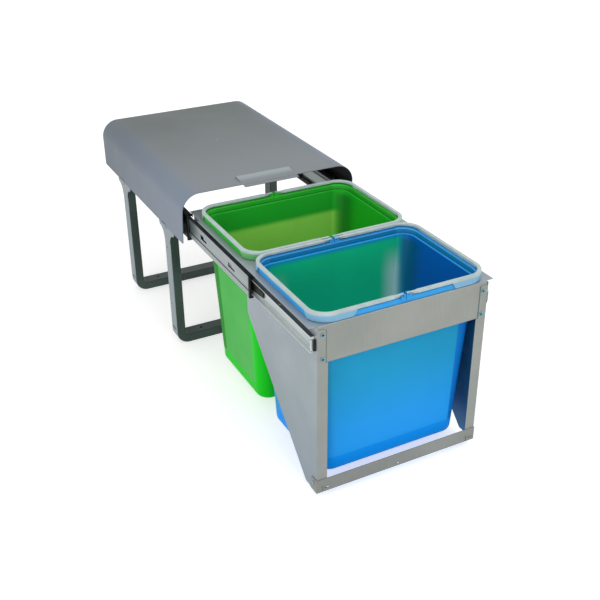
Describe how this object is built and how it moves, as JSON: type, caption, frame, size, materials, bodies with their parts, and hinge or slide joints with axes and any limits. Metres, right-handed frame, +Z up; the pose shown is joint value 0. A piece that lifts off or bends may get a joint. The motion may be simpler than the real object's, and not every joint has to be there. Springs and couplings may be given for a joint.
{
  "type": "pull out bin frame",
  "caption": "Floor-mounted cabinet frame with a fixed cover and a full-extension drawer that carries lift-out waste bins with hinged carrying handles.",
  "frame": {"origin": "centre of the four floor screws, on the cabinet floor", "axes": "+Z up, +Y from the drawer front into the cabinet, +X to the right seen from the front"},
  "size_m": [0.3524, 0.941, 0.3554],
  "materials": {
    "grey_paint": "fine textured grey powder coat",
    "front_steel": "satin galvanised sheet",
    "zinc_steel": "bright zinc plating",
    "rivet_steel": "bright zinc plating",
    "cage_steel": "greased dark steel",
    "ball_steel": "polished",
    "black_plastic": "moulded, matt",
    "green_plastic": "semi-gloss, slightly translucent",
    "blue_plastic": "semi-gloss, slightly translucent",
    "clear_plastic": "milky translucent"
  },
  "bodies": {
    "floor_frame": {"cover": "grey_paint", "front_hoop": "grey_paint", "rear_hoop": "grey_paint", "slide_brackets": "zinc_steel", "left_outer_rail": "zinc_steel", "right_outer_rail": "zinc_steel", "left_outer_end_stop": "black_plastic", "right_outer_end_stop": "black_plastic"},
    "drawer": {"carrier_plate": "front_steel", "bottom_rail": "front_steel", "band_rivets": "rivet_steel", "foot_rivets": "rivet_steel", "left_side_panel": "front_steel", "left_inner_rail": "zinc_steel", "left_inner_bumper": "black_plastic", "left_release_lever": "black_plastic", "right_side_panel": "front_steel", "right_inner_rail": "zinc_steel", "right_inner_bumper": "black_plastic", "right_release_lever": "black_plastic"},
    "left_middle": {"left_middle_rail": "zinc_steel", "left_middle_end_cap": "black_plastic", "left_track_strips": "cage_steel"},
    "left_outer_cage": {"left_outer_cage": "cage_steel", "left_outer_balls": "ball_steel"},
    "left_inner_cage": {"left_inner_cage": "cage_steel", "left_inner_balls": "ball_steel"},
    "right_middle": {"right_middle_rail": "zinc_steel", "right_middle_end_cap": "black_plastic", "right_track_strips": "cage_steel"},
    "right_outer_cage": {"right_outer_cage": "cage_steel", "right_outer_balls": "ball_steel"},
    "right_inner_cage": {"right_inner_cage": "cage_steel", "right_inner_balls": "ball_steel"},
    "green_bin": {"green_bin": "green_plastic"},
    "green_left_handle": {"green_left_handle": "clear_plastic"},
    "green_right_handle": {"green_right_handle": "clear_plastic"},
    "blue_bin": {"blue_bin": "blue_plastic"},
    "blue_left_handle": {"blue_left_handle": "clear_plastic"},
    "blue_right_handle": {"blue_right_handle": "clear_plastic"}
  },
  "joints": [
    {"name": "drawer_slide", "type": "slide", "parent": "floor_frame", "child": "drawer", "axis": [0, 1, 0], "range_m": [0, 0.45]},
    {"name": "left_middle_slide", "type": "slide", "parent": "floor_frame", "child": "left_middle", "axis": [0, 1, 0], "range_m": [0, 0.258]},
    {"name": "left_outer_cage_slide", "type": "slide", "parent": "floor_frame", "child": "left_outer_cage", "axis": [0, 1, 0], "range_m": [0, 0.1292]},
    {"name": "left_inner_cage_slide", "type": "slide", "parent": "floor_frame", "child": "left_inner_cage", "axis": [0, 1, 0], "range_m": [0, 0.3542]},
    {"name": "right_middle_slide", "type": "slide", "parent": "floor_frame", "child": "right_middle", "axis": [0, 1, 0], "range_m": [0, 0.258]},
    {"name": "right_outer_cage_slide", "type": "slide", "parent": "floor_frame", "child": "right_outer_cage", "axis": [0, 1, 0], "range_m": [0, 0.1292]},
    {"name": "right_inner_cage_slide", "type": "slide", "parent": "floor_frame", "child": "right_inner_cage", "axis": [0, 1, 0], "range_m": [0, 0.3542]},
    {"name": "green_bin_lift", "type": "slide", "parent": "drawer", "child": "green_bin", "axis": [0, 0, -1], "range_m": [-0.32, 0]},
    {"name": "green_left_handle_hinge", "type": "hinge", "parent": "green_bin", "child": "green_left_handle", "pos_m": [-0.00475, -0.3455, 0.32835], "axis": [0, -1, 0], "range_deg": [-90, 0]},
    {"name": "green_right_handle_hinge", "type": "hinge", "parent": "green_bin", "child": "green_right_handle", "pos_m": [0.00475, -0.3455, 0.32835], "axis": [0, 1, 0], "range_deg": [-90, 0]},
    {"name": "blue_bin_lift", "type": "slide", "parent": "drawer", "child": "blue_bin", "axis": [0, 0, -1], "range_m": [-0.32, 0]},
    {"name": "blue_left_handle_hinge", "type": "hinge", "parent": "blue_bin", "child": "blue_left_handle", "pos_m": [-0.00475, -0.57, 0.32835], "axis": [0, -1, 0], "range_deg": [-90, 0]},
    {"name": "blue_right_handle_hinge", "type": "hinge", "parent": "blue_bin", "child": "blue_right_handle", "pos_m": [0.00475, -0.57, 0.32835], "axis": [0, 1, 0], "range_deg": [-90, 0]}
  ],
  "couplings": [
    {"joint": "left_middle_slide", "follows": "drawer_slide", "ratio": 0.57222},
    {"joint": "left_outer_cage_slide", "follows": "drawer_slide", "ratio": 0.28611},
    {"joint": "left_inner_cage_slide", "follows": "drawer_slide", "ratio": 0.78611},
    {"joint": "right_middle_slide", "follows": "drawer_slide", "ratio": 0.57222},
    {"joint": "right_outer_cage_slide", "follows": "drawer_slide", "ratio": 0.28611},
    {"joint": "right_inner_cage_slide", "follows": "drawer_slide", "ratio": 0.78611}
  ]
}
